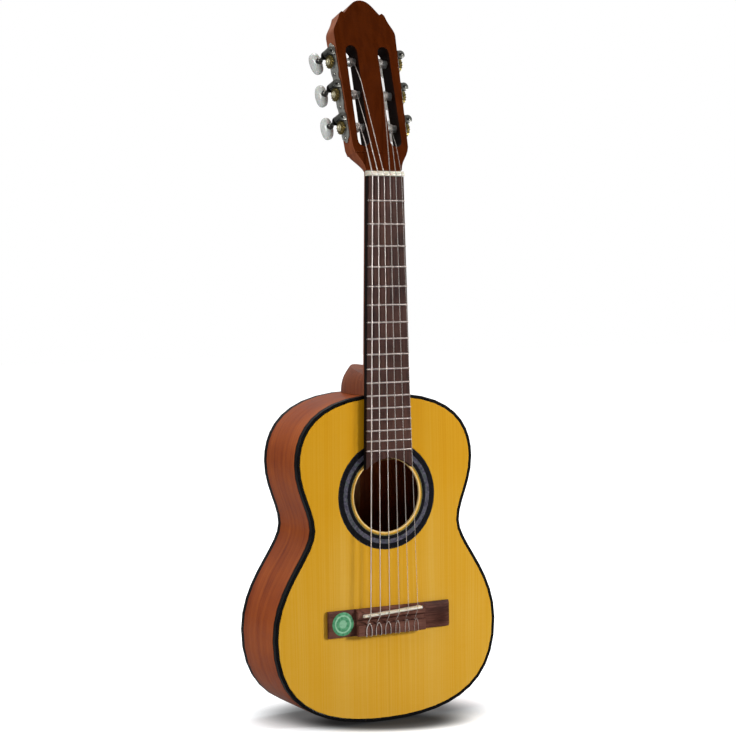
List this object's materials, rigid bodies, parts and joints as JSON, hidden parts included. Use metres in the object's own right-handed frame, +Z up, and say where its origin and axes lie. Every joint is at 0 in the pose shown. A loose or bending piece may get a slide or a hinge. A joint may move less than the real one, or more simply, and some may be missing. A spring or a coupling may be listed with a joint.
{
  "type": "classical guitar",
  "caption": "Upright small classical guitar with a hollow body, slotted head, nylon strings over a tied bridge and worm-geared tuning machines whose keys turn the string rollers.",
  "frame": {"origin": "the tail, the lowest point of the body, on the centreline and halfway between the frontmost string and the back, 35.9 mm behind the front face of the soundboard", "axes": "+Z up along the neck towards the head, the soundboard and strings face -Y, +X towards the treble side (player view from the front: right)"},
  "size_m": [0.2536, 0.0992, 0.7327],
  "materials": {
    "spruce": "gloss lacquer over amber-tinted spruce",
    "mahogany": "satin lacquer",
    "head_wood": "gloss lacquer",
    "rosewood": "oiled, open pored",
    "cedar": "bare wood",
    "black_binding": "polished",
    "rosette": "black and grey rings under lacquer",
    "bone": "polished ivory-white",
    "nickel": "polished",
    "brass": "bare",
    "plated_steel": "plated",
    "wound_string": "silvered winding",
    "nylon": "clear whitish nylon",
    "pearloid": "pearly white"
  },
  "bodies": {
    "root": {"soundboard": "spruce", "back": "mahogany", "rib_bass": "mahogany", "rib_treble": "mahogany", "neck": "head_wood", "tail_block": "cedar", "lining_top": "cedar", "lining_back": "cedar", "binding_top": "black_binding", "binding_back": "black_binding", "rosette": "rosette", "top_bracing": "spruce", "back_bracing": "cedar", "fingerboard": "rosewood", "nut": "bone", "saddle": "bone", "bridge": "rosewood", "tuner_plate_bass": "nickel", "tuner_plate_treble": "nickel", "fret_01": "nickel", "fret_02": "nickel", "fret_03": "nickel", "fret_04": "nickel", "fret_05": "nickel", "fret_06": "nickel", "fret_07": "nickel", "fret_08": "nickel", "fret_09": "nickel", "fret_10": "nickel", "fret_11": "nickel", "fret_12": "nickel", "fret_13": "nickel", "fret_14": "nickel", "fret_15": "nickel", "fret_16": "nickel", "fret_17": "nickel", "string_1": "nylon", "string_2": "nylon", "string_3": "nylon", "string_4": "wound_string", "string_5": "wound_string", "string_6": "wound_string"},
    "key_1": {"key_1": "pearloid"},
    "spindle_1": {"roller_1": "plated_steel", "gear_1": "brass"},
    "key_2": {"key_2": "pearloid"},
    "spindle_2": {"roller_2": "plated_steel", "gear_2": "brass"},
    "key_3": {"key_3": "pearloid"},
    "spindle_3": {"roller_3": "plated_steel", "gear_3": "brass"},
    "key_4": {"key_4": "pearloid"},
    "spindle_4": {"roller_4": "plated_steel", "gear_4": "brass"},
    "key_5": {"key_5": "pearloid"},
    "spindle_5": {"roller_5": "plated_steel", "gear_5": "brass"},
    "key_6": {"key_6": "pearloid"},
    "spindle_6": {"roller_6": "plated_steel", "gear_6": "brass"}
  },
  "joints": [
    {"name": "key_turn_1", "type": "hinge", "parent": "root", "child": "key_1", "pos_m": [0.03753, -0.01502, 0.60873], "axis": [0, 0.9659, -0.2588], "continuous": true},
    {"name": "spindle_turn_1", "type": "hinge", "parent": "root", "child": "spindle_1", "pos_m": [0.03723, -0.01737, 0.59995], "axis": [0.9994, -0.0086, -0.0322], "continuous": true},
    {"name": "key_turn_2", "type": "hinge", "parent": "root", "child": "key_2", "pos_m": [0.0387, -0.00596, 0.64252], "axis": [0, 0.9659, -0.2588], "continuous": true},
    {"name": "spindle_turn_2", "type": "hinge", "parent": "root", "child": "spindle_2", "pos_m": [0.03839, -0.00832, 0.63374], "axis": [0.9994, -0.0086, -0.0322], "continuous": true},
    {"name": "key_turn_3", "type": "hinge", "parent": "root", "child": "key_3", "pos_m": [0.03986, 0.00309, 0.67631], "axis": [0, 0.9659, -0.2588], "continuous": true},
    {"name": "spindle_turn_3", "type": "hinge", "parent": "root", "child": "spindle_3", "pos_m": [0.03956, 0.00074, 0.66753], "axis": [0.9994, -0.0086, -0.0322], "continuous": true},
    {"name": "key_turn_4", "type": "hinge", "parent": "root", "child": "key_4", "pos_m": [-0.03986, 0.00309, 0.67631], "axis": [0, 0.9659, -0.2588], "continuous": true},
    {"name": "spindle_turn_4", "type": "hinge", "parent": "root", "child": "spindle_4", "pos_m": [-0.03956, 0.00074, 0.66753], "axis": [0.9994, 0.0086, 0.0322], "continuous": true},
    {"name": "key_turn_5", "type": "hinge", "parent": "root", "child": "key_5", "pos_m": [-0.0387, -0.00596, 0.64252], "axis": [0, 0.9659, -0.2588], "continuous": true},
    {"name": "spindle_turn_5", "type": "hinge", "parent": "root", "child": "spindle_5", "pos_m": [-0.03839, -0.00832, 0.63374], "axis": [0.9994, 0.0086, 0.0322], "continuous": true},
    {"name": "key_turn_6", "type": "hinge", "parent": "root", "child": "key_6", "pos_m": [-0.03753, -0.01502, 0.60873], "axis": [0, 0.9659, -0.2588], "continuous": true},
    {"name": "spindle_turn_6", "type": "hinge", "parent": "root", "child": "spindle_6", "pos_m": [-0.03723, -0.01737, 0.59995], "axis": [0.9994, 0.0086, 0.0322], "continuous": true}
  ],
  "couplings": [
    {"joint": "spindle_turn_1", "follows": "key_turn_1", "ratio": 0.071429},
    {"joint": "spindle_turn_2", "follows": "key_turn_2", "ratio": 0.071429},
    {"joint": "spindle_turn_3", "follows": "key_turn_3", "ratio": 0.071429},
    {"joint": "spindle_turn_4", "follows": "key_turn_4", "ratio": 0.071429},
    {"joint": "spindle_turn_5", "follows": "key_turn_5", "ratio": 0.071429},
    {"joint": "spindle_turn_6", "follows": "key_turn_6", "ratio": 0.071429}
  ]
}
